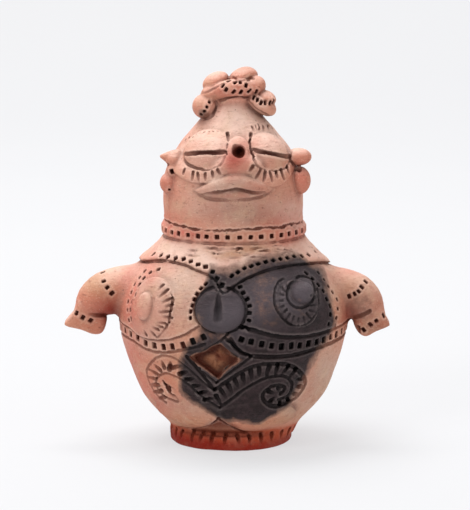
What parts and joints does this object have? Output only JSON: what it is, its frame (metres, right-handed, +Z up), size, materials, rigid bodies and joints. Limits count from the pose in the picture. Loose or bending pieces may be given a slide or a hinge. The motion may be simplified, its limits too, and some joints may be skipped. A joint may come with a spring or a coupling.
{
  "type": "dogu figurine",
  "caption": "Hollow-built fired clay figurine with a cone-shaped head, closed goggle eyes, stub arms, a round belly on a low foot, and punched and incised ornament.",
  "frame": {"origin": "centre of the foot's flat underside, on the surface it stands on", "axes": "+Z up through the head, -Y the way the face looks, +X to the right of someone facing it"},
  "size_m": [0.1299, 0.0833, 0.15],
  "materials": {
    "fired_clay": "unglazed, matte, with burnished patches and a dark fire cloud"
  },
  "bodies": {
    "root": {"figurine": "fired_clay"}
  },
  "joints": []
}
